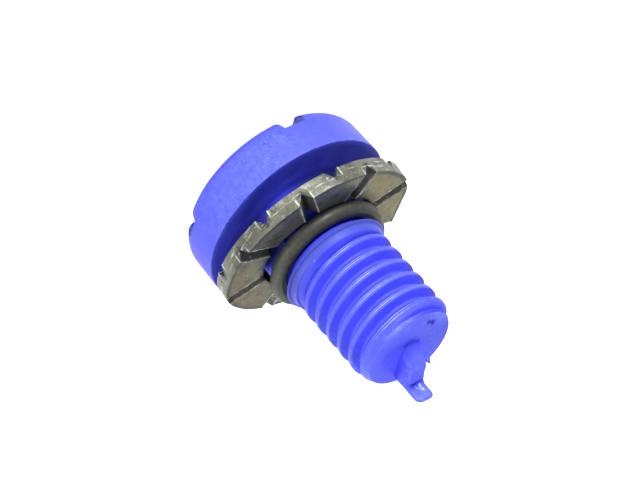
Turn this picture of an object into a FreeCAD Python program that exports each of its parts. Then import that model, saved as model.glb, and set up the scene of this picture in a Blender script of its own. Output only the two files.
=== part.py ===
import FreeCAD, Part
import math
import os
import Sketcher

# Radiator drain plug, in millimetres. Three loose pieces: the moulded plastic plug, a toothed
# metal washer that has slipped aslant on its neck, and a rubber ring in the neck's groove.
# The plug stands on its head: z = 0 is the head's top face, the axis is Z and the tip points up.
# The cross slot's arms lie along X and Y.

OVERALL_LENGTH = 30.58
HEAD_DIAMETER = 22.8

SIZES = [
    ("overall_length", OVERALL_LENGTH, "head's top face to the tip of the tab"),
    ("head_diameter", HEAD_DIAMETER, "head at the edge of its underside"),
    ("head_height", 6.0, "top face to underside"),
    ("head_narrowing", 0.05, "how much smaller the head's radius is at its top face"),
    ("head_rounding", 2.2, "rounding between the head's top and side"),
    ("slot_width", 3.0, "each arm of the cross slot"),
    ("slot_depth", 2.0, "floor of the cross slot"),
    ("neck_radius", 6.3, "plain neck under the head"),
    ("neck_flare", 0.8, "cone between head and neck"),
    ("neck_length", 4.5, "underside to the ring groove"),
    ("groove_radius", 5.5, "floor of the ring groove"),
    ("groove_width", 2.55, "between the walls of the ring groove"),
    ("ring_section", 1.8, "thickness of the rubber ring"),
    ("ring_sides", 8, "straight sides that its round section is drawn with"),
    ("ring_side_gap", 0.05, "play between the ring and the groove wall it lies on"),
    ("ring_seat_gap", 0.03, "play between the ring and the groove floor"),
    ("collar_radius", 6.48, "shoulder that holds the ring"),
    ("collar_chamfer", 0.12, "broken edge of the shoulder"),
    ("collar_length", 0.5, "groove to the end of the shoulder's taper"),
    ("land_radius", 6.02, "land where the thread fades in, at its shoulder end"),
    ("land_narrowing", 0.12, "how much smaller the land's radius is at its other end"),
    ("land_length", 0.6, "length of the land"),
    ("runout_length", 0.65, "length of the fall from the land to the thread root"),
    ("thread_radius", 6.0, "crest of the thread"),
    ("root_radius", 5.05, "root of the thread"),
    ("thread_pitch", 2.0, "rise of the thread in one turn"),
    ("crest_width", 0.54, "flat on the thread's crest"),
    ("flank_width", 0.46, "one flank along the axis"),
    ("rooting", 0.35, "how deep the thread and the tongue are rooted in the core"),
    ("thread_start", 0.83, "shoulder to the first crest over +X"),
    ("tip_radius", 5.1, "end face"),
    ("tip_bevel", 1.45, "length of the bevel at the tip"),
    ("tongue_thickness", 2.1, "moulded tongue on the end face, across"),
    ("tongue_offset", 0.15, "its middle plane off the axis"),
    ("tongue_angle", 4.2, "angle between the tongue and +Y, in degrees"),
    ("tongue_reach", 4.9, "axis to the tongue's outer wall"),
    ("tongue_web", 2.0, "height of its low web"),
    ("tongue_nose", 1.1, "height of the web at the axis"),
    ("tongue_ramp", 1.5, "length of the ramp from that height to the full web"),
    ("tab_height", 4.0, "height of the tab at the rim"),
    ("tab_depth", 0.65, "radial thickness of the tab"),
    ("tab_rounding", 0.6, "rounded top corners of the tab"),
    ("tab_fillet", 0.4, "hollow rounding between web and tab"),
    ("washer_overhang", 0.25, "how much larger the washer's radius is than the head's"),
    ("bore_diameter", 14.2, "inside of the washer"),
    ("washer_thickness", 1.95, "between its faces"),
    ("notch_count", 8, "notches on each face"),
    ("notch_depth", 1.05, "depth of each notch"),
    ("notch_half_width", 0.88, "half of each notch's mouth"),
    ("washer_angle", 27.5, "angle between the first notch and +X, in degrees"),
    ("washer_gap", 0.1, "play where the washer meets the head and the ring"),
    ("washer_neck_gap", 0.15, "play between the washer's bore and the neck"),
]

# Heights along the axis and other places that several pieces share.
HEAD_RADIUS = "$head_diameter / 2"
HEAD_TOP_RADIUS = f"{HEAD_RADIUS} - $head_narrowing"
WASHER_RADIUS = f"{HEAD_RADIUS} + $washer_overhang"
BORE_RADIUS = "$bore_diameter / 2"
GROOVE_LOW = "$head_height + $neck_length"
GROOVE_HIGH = f"{GROOVE_LOW} + $groove_width"
END_FACE = "$overall_length - $tab_height"
RING_HEIGHT = f"{GROOVE_LOW} + $ring_side_gap + $ring_section / 2"
RING_CENTRE = "$groove_radius + $ring_seat_gap + $ring_section / 2"
CUTTER_MARGIN = 1.0
TOLERANCE = 1e-3
TILT_STEPS = 60

doc = FreeCAD.newDocument("drain_plug")
sheet = doc.addObject("Spreadsheet::Sheet", "Sizes")
for row, (alias, number, note) in enumerate(SIZES, start=1):
    sheet.set(f"A{row}", note)
    sheet.set(f"B{row}", str(number))
    sheet.setAlias(f"B{row}", alias)
doc.recompute()


# In a formula, $ marks a size of the sheet.
def size(formula):
    return float(sheet.evalExpression(formula.replace("$", "")))


def bind(target, name, formula):
    target.setExpression(name, formula.replace("$", "Sizes."))


def origin_part(body, role):
    return next(item for item in body.Origin.OriginFeatures if item.Role == role)


def new_body(label):
    body = doc.addObject("PartDesign::Body", label)
    body.Label = label
    return body


def new_sketch(body, name, role, turn="0", shift="0"):
    # turn is about the plane's own vertical axis, shift along its normal.
    sketch = body.newObject("Sketcher::SketchObject", name)
    sketch.AttachmentSupport = (origin_part(body, role), [""])
    sketch.MapMode = "FlatFace"
    upright = FreeCAD.Rotation(FreeCAD.Vector(0, 1, 0), size(turn))
    sketch.AttachmentOffset = FreeCAD.Placement(
        upright.multVec(FreeCAD.Vector(0, 0, size(shift))), upright)
    return sketch


def tie_corner(sketch, line, axis, formula):
    value = size(formula)
    if abs(value) < TOLERANCE:
        own_axis = -2 if axis == "X" else -1
        sketch.addConstraint(Sketcher.Constraint("PointOnObject", line, 1, own_axis))
        return
    index = sketch.addConstraint(Sketcher.Constraint("Distance" + axis, -1, 1, line, 1, value))
    bind(sketch, f"Constraints[{index}]", formula)


def draw_outline(sketch, corners):
    # A closed outline of straight lines, each corner tied to its two formulas.
    places = [FreeCAD.Vector(size(across), size(along), 0) for across, along in corners]
    count = len(places)
    for line in range(count):
        sketch.addGeometry(Part.LineSegment(places[line], places[(line + 1) % count]), False)
    for line in range(count):
        sketch.addConstraint(Sketcher.Constraint("Coincident", line, 2, (line + 1) % count, 1))
    for line, (across, along) in enumerate(corners):
        tie_corner(sketch, line, "X", across)
        tie_corner(sketch, line, "Y", along)


def draw_circle(sketch, radius):
    circle = Part.Circle(FreeCAD.Vector(0, 0, 0), FreeCAD.Vector(0, 0, 1), size(radius))
    geometry = sketch.addGeometry(circle, False)
    sketch.addConstraint(Sketcher.Constraint("Coincident", geometry, 3, -1, 1))
    index = sketch.addConstraint(Sketcher.Constraint("Radius", geometry, size(radius)))
    bind(sketch, f"Constraints[{index}]", radius)


def turn_about_axis(body, kind, name, sketch):
    feature = body.newObject(kind, name)
    feature.Profile = sketch
    feature.ReferenceAxis = (sketch, ["V_Axis"])
    feature.Angle = 360.0
    doc.recompute()
    return feature


def add_fillet(body, name, radius, wanted):
    # Rounds the edges of the body's present shape for which wanted(edge) holds.
    base = body.Tip
    names = [f"Edge{n}" for n, edge in enumerate(base.Shape.Edges, start=1) if wanted(edge)]
    if not names:
        raise RuntimeError(f"{name}: no edge to round")
    fillet = body.newObject("PartDesign::Fillet", name)
    fillet.Base = (base, names)
    bind(fillet, "Radius", radius)
    doc.recompute()
    return fillet


def circle_at(radius, height):
    # A full circle about the axis with this radius and height.
    def wanted(edge):
        if not isinstance(edge.Curve, Part.Circle):
            return False
        low, high = edge.BoundBox.ZMin - size(height), edge.BoundBox.ZMax - size(height)
        level = abs(low) < TOLERANCE and abs(high) < TOLERANCE
        return level and abs(edge.Curve.Radius - size(radius)) < TOLERANCE
    return wanted


def line_through(place, direction):
    # A straight edge that lies on the line through place along direction.
    def wanted(edge):
        if not isinstance(edge.Curve, Part.Line):
            return False
        ends = [vertex.Point - place for vertex in edge.Vertexes]
        return all(end.cross(direction).Length < TOLERANCE for end in ends)
    return wanted


def check_cut(name, before, body):
    if not body.Shape.Volume < before - TOLERANCE:
        raise RuntimeError(f"{name} removed nothing")


def add_head_and_shank(body):
    outline = new_sketch(body, "turned_outline", "XZ_Plane")
    land_start = f"{GROOVE_HIGH} + $collar_length"
    land_end = f"{land_start} + $land_length"
    draw_outline(outline, [
        ("0", "0"),
        (HEAD_TOP_RADIUS, "0"),
        (HEAD_RADIUS, "$head_height"),
        ("$neck_radius + $neck_flare", "$head_height"),
        ("$neck_radius", "$head_height + $neck_flare"),
        ("$neck_radius", GROOVE_HIGH),
        ("$collar_radius - $collar_chamfer", GROOVE_HIGH),
        ("$collar_radius", f"{GROOVE_HIGH} + $collar_chamfer"),
        ("$land_radius", land_start),
        ("$land_radius - $land_narrowing", land_end),
        ("$root_radius", f"{land_end} + $runout_length"),
        ("$root_radius", END_FACE),
        ("0", END_FACE),
    ])
    turn_about_axis(body, "PartDesign::Revolution", "turned_form", outline)
    add_fillet(body, "head_edge", "$head_rounding", circle_at(HEAD_TOP_RADIUS, "0"))


def add_thread(body):
    # A ridge with a flat crest, swept up a right-hand helix that starts inside the neck.
    ridge = new_sketch(body, "thread_ridge", "XZ_Plane")
    middle = f"{GROOVE_HIGH} + $thread_start - $thread_pitch"
    buried = "$rooting / ($thread_radius - $root_radius)"
    foot_width = f"$crest_width / 2 + $flank_width * (1 + {buried})"
    inner = "$root_radius - $rooting"
    draw_outline(ridge, [
        (inner, f"{middle} - ({foot_width})"),
        ("$thread_radius", f"{middle} - $crest_width / 2"),
        ("$thread_radius", f"{middle} + $crest_width / 2"),
        (inner, f"{middle} + {foot_width}"),
    ])
    thread = body.newObject("PartDesign::AdditiveHelix", "thread")
    thread.Profile = ridge
    thread.ReferenceAxis = (ridge, ["V_Axis"])
    thread.Mode = "pitch-height-angle"
    bind(thread, "Pitch", "$thread_pitch")
    bind(thread, "Height", f"{END_FACE} - ({middle}) + $thread_pitch")
    thread.LeftHanded = False
    doc.recompute()


def cut_tip(body):
    # Squares the thread off at the end face and bevels its last turn.
    before = body.Shape.Volume
    cutter = new_sketch(body, "tip_cutter", "XZ_Plane")
    wide = f"($thread_radius + {CUTTER_MARGIN})"
    slope = "($thread_radius - $tip_radius) / $tip_bevel"
    draw_outline(cutter, [
        ("0", END_FACE),
        ("$tip_radius", END_FACE),
        (wide, f"{END_FACE} - ({wide} - $tip_radius) / ({slope})"),
        (wide, f"{END_FACE} + 2 * $thread_pitch"),
        ("0", f"{END_FACE} + 2 * $thread_pitch"),
    ])
    turn_about_axis(body, "PartDesign::Groove", "tip_bevel_cut", cutter)
    check_cut("tip_bevel_cut", before, body)


def cut_ring_groove(body):
    before = body.Shape.Volume
    cutter = new_sketch(body, "groove_cutter", "XZ_Plane")
    wide = f"$collar_radius + {CUTTER_MARGIN}"
    draw_outline(cutter, [
        ("$groove_radius", GROOVE_LOW),
        (wide, GROOVE_LOW),
        (wide, GROOVE_HIGH),
        ("$groove_radius", GROOVE_HIGH),
    ])
    turn_about_axis(body, "PartDesign::Groove", "ring_groove", cutter)
    check_cut("ring_groove", before, body)


def cut_cross_slot(body):
    before = body.Shape.Volume
    cross = new_sketch(body, "cross_outline", "XY_Plane")
    half = "$slot_width / 2"
    reach = f"{HEAD_RADIUS} + {CUTTER_MARGIN}"
    minus_half = f"-({half})"
    minus_reach = f"-({reach})"
    draw_outline(cross, [
        (reach, minus_half), (reach, half), (half, half),
        (half, reach), (minus_half, reach), (minus_half, half),
        (minus_reach, half), (minus_reach, minus_half), (minus_half, minus_half),
        (minus_half, minus_reach), (half, minus_reach), (half, minus_half),
    ])
    slot = body.newObject("PartDesign::Pocket", "cross_slot")
    slot.Profile = cross
    slot.Type = "Length"
    bind(slot, "Length", "$slot_depth")
    slot.Reversed = True
    doc.recompute()
    check_cut("cross_slot", before, body)


def add_tongue(body):
    # A low web from the axis to the rim, with a taller tab at its outer end.
    profile = new_sketch(body, "tongue_profile", "YZ_Plane", "$tongue_angle", "-$tongue_offset")
    foot = f"{END_FACE} - $rooting"
    draw_outline(profile, [
        ("0", foot),
        ("$tongue_reach", foot),
        ("$tongue_reach", f"{END_FACE} + $tab_height"),
        ("$tongue_reach - $tab_depth", f"{END_FACE} + $tab_height"),
        ("$tongue_reach - $tab_depth", f"{END_FACE} + $tongue_web"),
        ("$tongue_ramp", f"{END_FACE} + $tongue_web"),
        ("0", f"{END_FACE} + $tongue_nose"),
    ])
    tongue = body.newObject("PartDesign::Pad", "tongue")
    tongue.Profile = profile
    bind(tongue, "Length", "$tongue_thickness")
    tongue.Midplane = True
    doc.recompute()
    turn = FreeCAD.Rotation(FreeCAD.Vector(0, 0, 1), size("$tongue_angle"))
    outward = turn.multVec(FreeCAD.Vector(0, 1, 0))
    across = turn.multVec(FreeCAD.Vector(1, 0, 0))
    web_top = FreeCAD.Vector(0, 0, size(f"{END_FACE} + $tongue_web"))
    tab_foot = outward * size("$tongue_reach - $tab_depth") + web_top
    add_fillet(body, "tab_hollow", "$tab_fillet", line_through(tab_foot, across))
    tab_top = FreeCAD.Vector(0, 0, size(f"{END_FACE} + $tab_height"))
    half, offset = size("$tongue_thickness / 2"), size("$tongue_offset")
    tests = [line_through(tab_top + across * (side * half - offset), outward) for side in (-1, 1)]
    add_fillet(body, "tab_corners", "$tab_rounding", lambda edge: any(test(edge) for test in tests))


def build_plug():
    body = new_body("drain_plug")
    add_head_and_shank(body)
    add_thread(body)
    cut_tip(body)
    cut_ring_groove(body)
    cut_cross_slot(body)
    add_tongue(body)
    return body


def add_notches(body, name, side, turn):
    # One V across the ring's face on the given side, repeated round the axis.
    before = body.Shape.Volume
    vee = new_sketch(body, f"{name}_outline", "YZ_Plane", turn)
    face = f"{side} * $washer_thickness / 2"
    mouth = f"$notch_half_width * (1 + {CUTTER_MARGIN} / $notch_depth)"
    draw_outline(vee, [
        ("0", f"{face} - {side} * $notch_depth"),
        (mouth, f"{face} + {side} * {CUTTER_MARGIN}"),
        (f"-({mouth})", f"{face} + {side} * {CUTTER_MARGIN}"),
    ])
    notch = body.newObject("PartDesign::Pocket", name)
    notch.Profile = vee
    notch.Type = "Length"
    bind(notch, "Length", f"{WASHER_RADIUS} + {CUTTER_MARGIN}")
    notch.Reversed = True
    doc.recompute()
    pattern = body.newObject("PartDesign::PolarPattern", f"{name}_ring")
    pattern.Originals = [notch]
    pattern.Axis = (origin_part(body, "Z_Axis"), [""])
    pattern.Angle = 360.0
    bind(pattern, "Occurrences", "$notch_count")
    body.Tip = pattern
    doc.recompute()
    check_cut(name, before, body)


def washer_rest():
    # The washer has its rim on the head's underside and its bore against the neck, and is tilted
    # about X until its other side comes up against the ring. Each step turns it by less than the
    # gap that is left, so it never passes through. Returns the tilt and the washer's centre.
    outer, bore, half = size(WASHER_RADIUS), size(BORE_RADIUS), size("$washer_thickness / 2")
    seat, neck = size("$head_height + $washer_gap"), size("$neck_radius + $washer_neck_gap")
    ring_y, ring_z = -size(RING_CENTRE), size(RING_HEIGHT)
    clear = size("$ring_section / 2 + $washer_gap")
    tilt = 0.0
    for _ in range(TILT_STEPS):
        lean, rise = math.sin(tilt), math.cos(tilt)
        centre = FreeCAD.Vector(0, neck - bore * rise + half * lean, seat + outer * lean + half * rise)
        across, up = ring_y - centre.y, ring_z - centre.z
        past_bore = across * rise - up * lean + bore
        past_face = across * lean + up * rise - half
        gap = math.hypot(max(past_bore, 0), max(past_face, 0)) - clear
        tilt += gap / (2 * outer)
    return tilt, centre


def build_washer():
    body = new_body("toothed_washer")
    rings = new_sketch(body, "washer_rings", "XY_Plane")
    draw_circle(rings, WASHER_RADIUS)
    draw_circle(rings, BORE_RADIUS)
    disc = body.newObject("PartDesign::Pad", "washer_blank")
    disc.Profile = rings
    bind(disc, "Length", "$washer_thickness")
    disc.Midplane = True
    doc.recompute()
    add_notches(body, "tip_side_notch", 1, "0")
    add_notches(body, "head_side_notch", -1, "180 / $notch_count")
    tilt, centre = washer_rest()
    lean = FreeCAD.Rotation(FreeCAD.Vector(1, 0, 0), -math.degrees(tilt))
    spin = FreeCAD.Rotation(FreeCAD.Vector(0, 0, 1), size("$washer_angle"))
    body.Placement = FreeCAD.Placement(centre, lean.multiply(spin))
    print(f"washer tilt {math.degrees(tilt):.2f} degrees, centre {centre.y:.3f}, {centre.z:.3f}")
    return body


def build_ring():
    # The rubber's round section is drawn with a few straight sides, evenly turned about its middle.
    body = new_body("o_ring")
    section = new_sketch(body, "ring_outline", "XZ_Plane")
    sides = int(size("$ring_sides"))
    corners = []
    for corner in range(sides):
        turn = math.pi * (2 * corner + 1) / sides
        across = f"{RING_CENTRE} + {math.cos(turn):.9f} * $ring_section / 2"
        along = f"{RING_HEIGHT} + {math.sin(turn):.9f} * $ring_section / 2"
        corners.append((across, along))
    draw_outline(section, corners)
    turn_about_axis(body, "PartDesign::Revolution", "ring_form", section)
    return body


def save(pieces):
    doc.recompute()
    for item in doc.Objects:
        if "Invalid" in item.State or "Error" in item.State:
            raise RuntimeError(f"{item.Name} failed: {item.State}")
    os.makedirs("parts", exist_ok=True)
    for piece in pieces:
        shape = piece.Shape
        if shape.isNull() or not shape.isValid() or len(shape.Solids) != 1:
            raise RuntimeError(f"{piece.Label} is not one valid solid")
    for piece in pieces:
        piece.Shape.exportStep(f"parts/{piece.Label}.step")
        print(f"{piece.Label}: {piece.Shape.Volume:.1f} cubic mm, {len(piece.Shape.Faces)} faces")


save([build_plug(), build_washer(), build_ring()])
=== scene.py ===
import bmesh
import bpy
import numpy as np
from math import atan2, cos, degrees, pi, radians, sin
from mathutils import Matrix, Vector


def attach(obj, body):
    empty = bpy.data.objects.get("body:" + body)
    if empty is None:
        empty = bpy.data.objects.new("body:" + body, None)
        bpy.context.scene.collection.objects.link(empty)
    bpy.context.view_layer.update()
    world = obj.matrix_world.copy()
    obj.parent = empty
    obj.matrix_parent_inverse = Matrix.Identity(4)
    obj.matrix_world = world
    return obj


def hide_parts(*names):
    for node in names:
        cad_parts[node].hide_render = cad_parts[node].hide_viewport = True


# Radiator drain plug standing on its head: blue moulded plug, toothed steel washer, rubber ring.
# Shapes are worked out in millimetres, and the meshes are in metres.
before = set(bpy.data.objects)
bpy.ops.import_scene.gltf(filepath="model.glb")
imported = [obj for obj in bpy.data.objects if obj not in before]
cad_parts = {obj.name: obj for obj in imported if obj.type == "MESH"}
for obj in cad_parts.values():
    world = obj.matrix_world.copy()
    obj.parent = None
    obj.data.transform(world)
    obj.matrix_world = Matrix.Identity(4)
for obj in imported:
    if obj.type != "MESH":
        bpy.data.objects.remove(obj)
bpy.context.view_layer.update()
millimetre = 0.001
mergeDistance = 2e-7
tiny = 1e-9
print("frame loaded")


def addObject(name, data):
    piece = bpy.data.objects.new(name, data)
    bpy.context.scene.collection.objects.link(piece)
    return piece


def gridMesh(name, points, material, sharpAngle, marks=None):
    # Surface from a grid of points in millimetres, rows by columns. Corners that fall together
    # at seams and poles are merged. Marks, one value for each point, become an attribute for the
    # materials: above zero wear, painted sheen and painted highlights, far above it white painted
    # highlights, below zero painted shade and dark dents.
    rows, columns = points.shape[:2]
    corner = np.arange(rows * columns).reshape(rows, columns)
    quads = np.stack([corner[:-1, :-1], corner[:-1, 1:], corner[1:, 1:], corner[1:, :-1]], axis=-1)
    quads = quads.reshape(-1, 4)
    mesh = bpy.data.meshes.new(name)
    mesh.vertices.add(rows * columns)
    mesh.vertices.foreach_set("co", (points * millimetre).astype(np.float32).ravel())
    mesh.loops.add(quads.size)
    mesh.loops.foreach_set("vertex_index", quads.astype(np.int32).ravel())
    mesh.polygons.add(len(quads))
    mesh.polygons.foreach_set("loop_start", np.arange(0, quads.size, 4, dtype=np.int32))
    mesh.update(calc_edges=True)
    if marks is not None:
        layer = mesh.attributes.new("edgeMark", "FLOAT", "POINT")
        values = np.broadcast_to(marks, (rows, columns)).astype(np.float32)
        layer.data.foreach_set("value", values.ravel())
    work = bmesh.new()
    work.from_mesh(mesh)
    bmesh.ops.remove_doubles(work, verts=work.verts, dist=mergeDistance)
    bmesh.ops.recalc_face_normals(work, faces=work.faces)
    work.to_mesh(mesh)
    work.free()
    mesh.polygons.foreach_set("use_smooth", np.ones(len(mesh.polygons), dtype=bool))
    mesh.set_sharp_from_angle(angle=radians(sharpAngle))
    mesh.materials.append(material)
    return addObject(name, mesh)


def closed(grid):
    # The grid with its first column once more at the end, so that its surface closes.
    return np.concatenate([grid, grid[:, :1]], axis=1)


def arcRows(centre, radius, first, last, count):
    # Points of an arc: centre plus radius times the cosine and sine of evenly spaced angles.
    angle = np.radians(np.linspace(first, last, count))
    return np.stack([centre[0] + radius * np.cos(angle), centre[1] + radius * np.sin(angle)], axis=-1)


def straightRows(start, end, count):
    # Points between two ends, both ends left out.
    share = np.linspace(0, 1, count + 2)[1:-1, None]
    return np.array(start) * (1 - share) + np.array(end) * share


def hump(distance, width):
    # A smooth bell: one at no distance, falling off over width.
    return np.exp(-(distance / width) ** 2)


def turnFrom(angle, place):
    # Angle from a place in degrees round the axis, brought between minus and plus half a turn.
    return (angle - radians(place) + pi) % (2 * pi) - pi


def bells(distance, lines):
    # Sum of bells along a length, each given by its place, width and strength.
    return sum(strength * hump(distance - place, width) for place, width, strength in lines)


def turnBells(angle, spots):
    # The same round the axis, with places in degrees.
    return sum(strength * hump(turnFrom(angle, place), width) for place, width, strength in spots)


def waves(given, first, second):
    # Sum of sines, each given by its size and its rates along the two values.
    return sum(size * np.sin(rate * first + otherRate * second) for size, rate, otherRate in given)


def addNode(tree, kind, inputs=None, **settings):
    node = tree.nodes.new(kind)
    for key, value in settings.items():
        setattr(node, key, value)
    for key, value in (inputs or {}).items():
        if isinstance(value, bpy.types.NodeSocket):
            tree.links.new(value, node.inputs[key])
        else:
            node.inputs[key].default_value = value
    return node


def startGroup(name, inputs, outputs):
    tree = bpy.data.node_groups.new(name, "ShaderNodeTree")
    for label, value in inputs.items():
        socket = tree.interface.new_socket(label, in_out="INPUT", socket_type="NodeSocketFloat")
        socket.default_value = value
    for label in outputs:
        tree.interface.new_socket(label, in_out="OUTPUT", socket_type="NodeSocketFloat")
    return tree, tree.nodes.new("NodeGroupInput").outputs, tree.nodes.new("NodeGroupOutput").inputs


def startMaterial(name):
    material = bpy.data.materials.new(name)
    material.use_nodes = True
    tree = material.node_tree
    tree.nodes.clear()
    shader = addNode(tree, "ShaderNodeBsdfPrincipled")
    addNode(tree, "ShaderNodeOutputMaterial", {"Surface": shader.outputs["BSDF"]})
    return material, tree, shader


def mixColour(tree, factor, first, second):
    # A colour mix knows its sockets by number: 0 is its factor, 6 and 7 its colours, 2 its result.
    inputs = {0: factor, 6: first, 7: second}
    return addNode(tree, "ShaderNodeMix", inputs, data_type="RGBA").outputs[2]


def calculate(tree, operation, first, second=0.0, clamp=False):
    node = addNode(tree, "ShaderNodeMath", {0: first, 1: second}, operation=operation, use_clamp=clamp)
    return node.outputs[0]


def multiply(tree, first, second):
    return calculate(tree, "MULTIPLY", first, second)


def objectPlace(tree):
    return addNode(tree, "ShaderNodeTexCoord").outputs["Object"]


def noise(tree, place, settings):
    return addNode(tree, "ShaderNodeTexNoise", {"Vector": place, **settings}).outputs["Fac"]


def spread(tree, value, low, high, toLow=0.0, toHigh=1.0):
    # Stretches the part of value between low and high to the range toLow to toHigh.
    inputs = {"Value": value, "From Min": low, "From Max": high, "To Min": toLow, "To Max": toHigh}
    return addNode(tree, "ShaderNodeMapRange", inputs, clamp=True).outputs["Result"]


def makeGrainGroup():
    # Fine skin of a moulded or ground surface: a coarse ripple with finer pitting on it, and
    # broad patches between zero and one.
    inputs = {"Scale": 1000.0, "Pitting": 0.3}
    tree, given, result = startGroup("surfaceGrain", inputs, ["Height", "Patches"])
    place = objectPlace(tree)
    ripple = noise(tree, place, {"Scale": given["Scale"], "Detail": 4.0})
    pits = noise(tree, place, {"Scale": multiply(tree, given["Scale"], 5.0), "Detail": 2.0})
    pitted = calculate(tree, "ADD", ripple, multiply(tree, pits, given["Pitting"]))
    tree.links.new(pitted, result["Height"])
    patches = noise(tree, place, {"Scale": multiply(tree, given["Scale"], 0.25), "Detail": 3.0})
    tree.links.new(spread(tree, patches, 0.35, 0.65), result["Patches"])
    return tree


def makeSpeckGroup():
    # Scattered small round marks: the middles of random cells, of which only a share is kept.
    inputs = {"Scale": 900.0, "Size": 0.12, "Share": 0.2}
    tree, given, result = startGroup("scatteredSpecks", inputs, ["Mask"])
    place = objectPlace(tree)
    cells = addNode(tree, "ShaderNodeTexVoronoi", {"Vector": place, "Scale": given["Scale"]})
    near = calculate(tree, "LESS_THAN", cells.outputs["Distance"], given["Size"])
    chance = addNode(tree, "ShaderNodeSeparateColor", {"Color": cells.outputs["Color"]}).outputs[0]
    kept = calculate(tree, "LESS_THAN", chance, given["Share"])
    tree.links.new(multiply(tree, near, kept), result["Mask"])
    return tree


surfaceGrain = makeGrainGroup()
scatteredSpecks = makeSpeckGroup()


def startFinish(name, finish):
    # What all finishes share: grain and specks, with roughness and bump that follow the grain.
    material, tree, shader = startMaterial(name)
    grain = addNode(tree, "ShaderNodeGroup", finish["grain"], node_tree=surfaceGrain).outputs
    specks = addNode(tree, "ShaderNodeGroup", finish["specks"], node_tree=scatteredSpecks).outputs
    roughness = spread(tree, grain["Height"], *finish["roughness"])
    tree.links.new(roughness, shader.inputs["Roughness"])
    bump = addNode(tree, "ShaderNodeBump", {"Height": grain["Height"], **finish["bump"]})
    tree.links.new(bump.outputs["Normal"], shader.inputs["Normal"])
    for key, value in finish["fixed"].items():
        shader.inputs[key].default_value = value
    return material, tree, shader, grain, multiply(tree, specks["Mask"], finish["speckStrength"])


def readMark(tree):
    return addNode(tree, "ShaderNodeAttribute", attribute_name="edgeMark").outputs["Fac"]


def paint(tree, shader, colour, finish, layers):
    # Colours of the finish laid over the first one in turn, each as far as its mask says.
    for mask, name in layers:
        colour = mixColour(tree, mask, colour, finish[name])
    tree.links.new(colour, shader.inputs["Base Color"])


def vectorMath(tree, operation, first, second=(0.0, 0.0, 0.0)):
    return addNode(tree, "ShaderNodeVectorMath", {0: first, 1: second}, operation=operation).outputs


def leftward(tree, place):
    # Distance to the photograph's left along the level line across its view.
    return vectorMath(tree, "DOT_PRODUCT", place, (0.816, 0.578, 0.0))["Value"]


# Two or four numbers in a finish spread a mask: the low and high that it comes from, and the
# low and high that it becomes, zero and one if not given.
plasticFinish = {
    "blue": (0.066, 0.078, 0.82, 1),
    "deepBlue": (0.052, 0.061, 0.76, 1),
    "paleBlue": (0.20, 0.27, 0.95, 1),
    "azure": (0.056, 0.078, 0.31, 1),
    # Painted shade where the mark is below zero; it also darkens the end face's dents.
    "paintedShade": (0.010, 0.012, 0.040, 1),
    # White of the specks and the stress-whitened spot, and painted highlight where the mark is far above
    # zero.
    "whiteAndHighlight": (0.55, 0.58, 0.95, 1),
    "fixed": {},
    "grain": {"Scale": 1400.0, "Pitting": 0.5},
    "specks": {"Scale": 1100.0, "Size": 0.09, "Share": 0.06},
    "speckStrength": 0.35,
    "roughness": (0.4, 0.9, 0.40, 0.54),
    "bump": {"Strength": 0.6, "Distance": 0.000016},
    "specular": (-0.2, 0.1, 0.06, 0.28),
    # Breaks up the wear, painted sheen and painted highlights by the grain.
    "wearAndLight": (0.62, 0.95, 0.35, 1.3),
    "wearAndLightStrength": 0.5,
    "fleckNoise": {"Scale": 4600.0, "Detail": 2.0},
    "flecks": (0.55, 0.70, 0.0, 1.2),
    "fleckedMarks": (0.1, 0.4),
    "azureStart": (0.0128, 0.0130),
    "azureEnd": (0.0138, 0.0148, 0.85, 0.0),
    "azureFlecks": (0.40, 0.60, 0.6, 1.0),
    "highlightMarks": (1.3, 2.3, 0.0, 0.5),
    "tearPlace": (-0.00072, 0.00427, 0.02905),
    "tearShape": (1.45, 1.0, 0.85),
    "tearNoise": {"Scale": 2600.0, "Detail": 3.0},
    "tearMiddle": 0.45,
    "tearRaggedness": 0.0024,
    "tear": (0.00021, 0.00060, 0.65, 0.0),
}


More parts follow.
